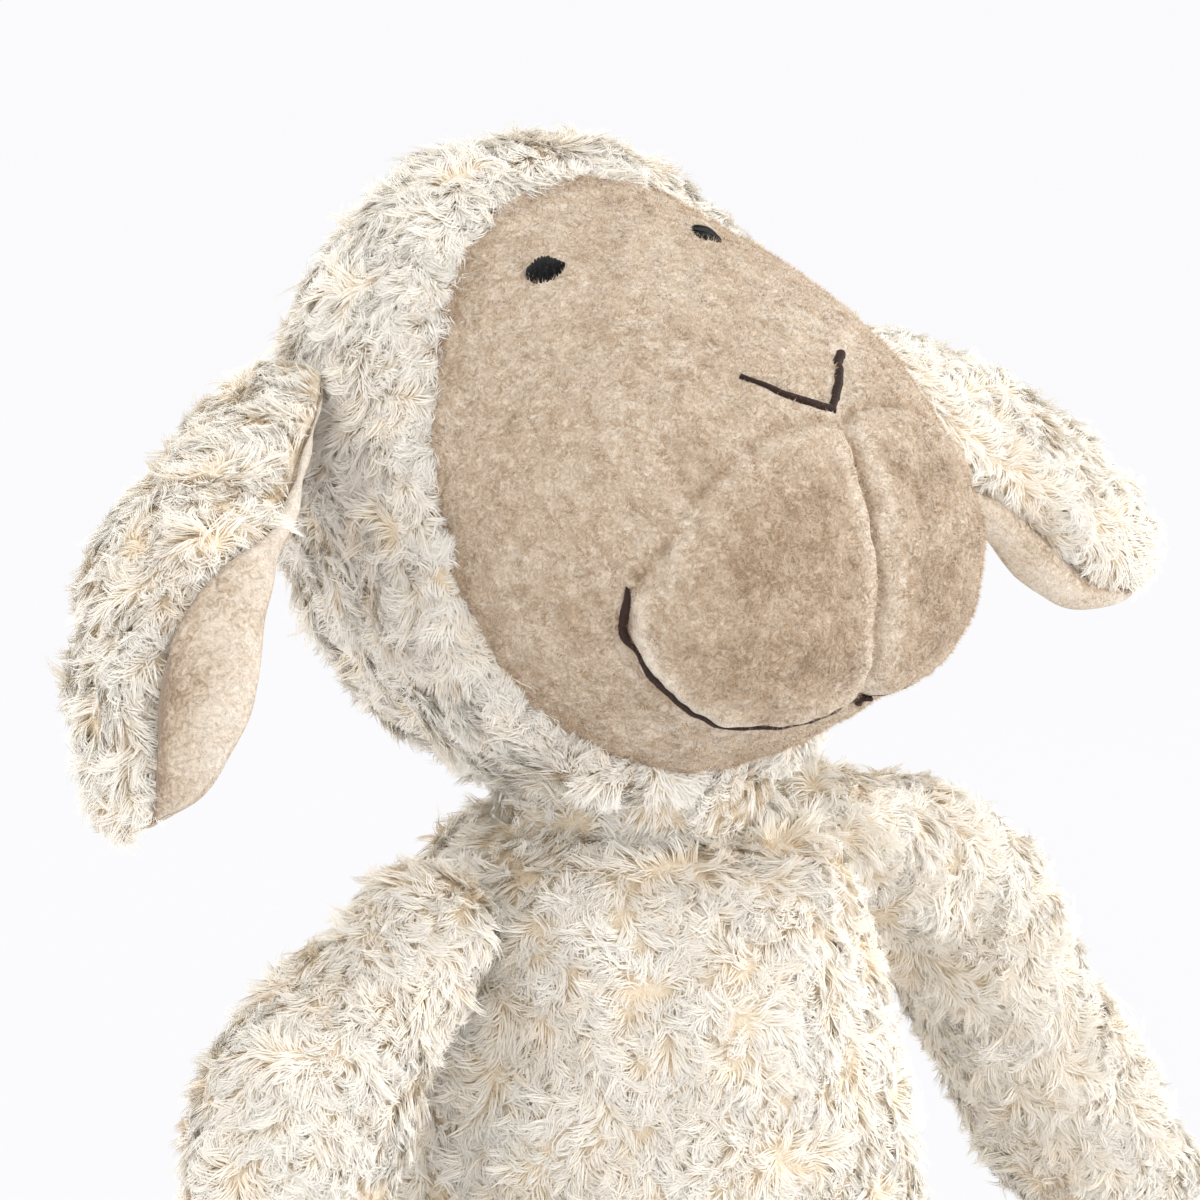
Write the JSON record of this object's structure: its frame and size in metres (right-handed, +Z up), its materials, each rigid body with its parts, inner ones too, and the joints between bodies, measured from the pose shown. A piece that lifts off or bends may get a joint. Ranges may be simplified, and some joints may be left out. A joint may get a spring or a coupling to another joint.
{
  "type": "plush sheep",
  "caption": "Soft sitting sheep toy of shaggy cream fur with a mottled felt face, embroidered eyes, nose and smile, drooping ears, jointed limbs and a small tail.",
  "frame": {"origin": "middle of the flat under the seat, on the surface that the toy sits on", "axes": "+Z up, -Y forward (the way the face looks), +X towards the toy's left side"},
  "size_m": [0.2957, 0.2996, 0.3005],
  "materials": {
    "fur": "shaggy cream pile, golden at its roots",
    "fleece": "short brushed pile, mottled sand and brown",
    "brown_thread": "satin embroidery thread",
    "black_thread": "satin embroidery thread",
    "stuffing": "white fibre filling",
    "bag_cloth": "plain woven bag of small pellets"
  },
  "bodies": {
    "torso": {"torso_fur": "fur", "torso_stuffing": "stuffing", "pellet_bag": "bag_cloth"},
    "neck": {"neck_knob": "stuffing"},
    "head": {"head_fur": "fur", "face_felt": "fleece", "head_stuffing": "stuffing", "nose_stitching": "brown_thread", "mouth_stitching": "brown_thread", "right_eye": "black_thread", "left_eye": "black_thread"},
    "right_ear": {"right_ear_fur": "fur", "right_ear_lining": "fleece"},
    "left_ear": {"left_ear_fur": "fur", "left_ear_lining": "fleece"},
    "right_arm": {"right_arm_fur": "fur", "right_arm_stuffing": "stuffing", "right_front_hoof": "fleece"},
    "left_arm": {"left_arm_fur": "fur", "left_arm_stuffing": "stuffing", "left_front_hoof": "fleece"},
    "right_leg": {"right_leg_fur": "fur", "right_leg_stuffing": "stuffing", "right_hind_hoof": "fleece"},
    "left_leg": {"left_leg_fur": "fur", "left_leg_stuffing": "stuffing", "left_hind_hoof": "fleece"},
    "tail": {"tail": "fur"}
  },
  "joints": [
    {"name": "neck_turn", "type": "hinge", "parent": "torso", "child": "neck", "pos_m": [0, 0, 0.174], "axis": [0, 0, 1], "range_deg": [-45, 45], "stiffness_Nm_per_rad": 0.3},
    {"name": "neck_nod", "type": "hinge", "parent": "neck", "child": "head", "pos_m": [0, 0, 0.174], "axis": [1, 0, 0], "range_deg": [-12, 12], "stiffness_Nm_per_rad": 0.6},
    {"name": "right_ear_lift", "type": "hinge", "parent": "head", "child": "right_ear", "pos_m": [-0.06265, 0.03764, 0.25678], "axis": [0.3025, -0.8949, 0.3282], "range_deg": [-60, 14]},
    {"name": "left_ear_lift", "type": "hinge", "parent": "head", "child": "left_ear", "pos_m": [0.06012, 0.0381, 0.26354], "axis": [-0.4461, -0.8884, 0.1078], "range_deg": [-5, 60]},
    {"name": "right_shoulder", "type": "hinge", "parent": "torso", "child": "right_arm", "pos_m": [-0.058, 0.001, 0.153], "axis": [1, 0, 0], "range_deg": [-80, 45]},
    {"name": "left_shoulder", "type": "hinge", "parent": "torso", "child": "left_arm", "pos_m": [0.058, 0.001, 0.153], "axis": [1, 0, 0], "range_deg": [-80, 45]},
    {"name": "right_hip", "type": "hinge", "parent": "torso", "child": "right_leg", "pos_m": [-0.033, -0.059, 0.0245], "axis": [1, 0, 0], "range_deg": [-5, 50]},
    {"name": "left_hip", "type": "hinge", "parent": "torso", "child": "left_leg", "pos_m": [0.033, -0.059, 0.0245], "axis": [1, 0, 0], "range_deg": [-5, 50]},
    {"name": "tail_wag", "type": "hinge", "parent": "torso", "child": "tail", "pos_m": [0, 0.0686, 0.052], "axis": [0, 0, 1], "range_deg": [-25, 25]}
  ]
}
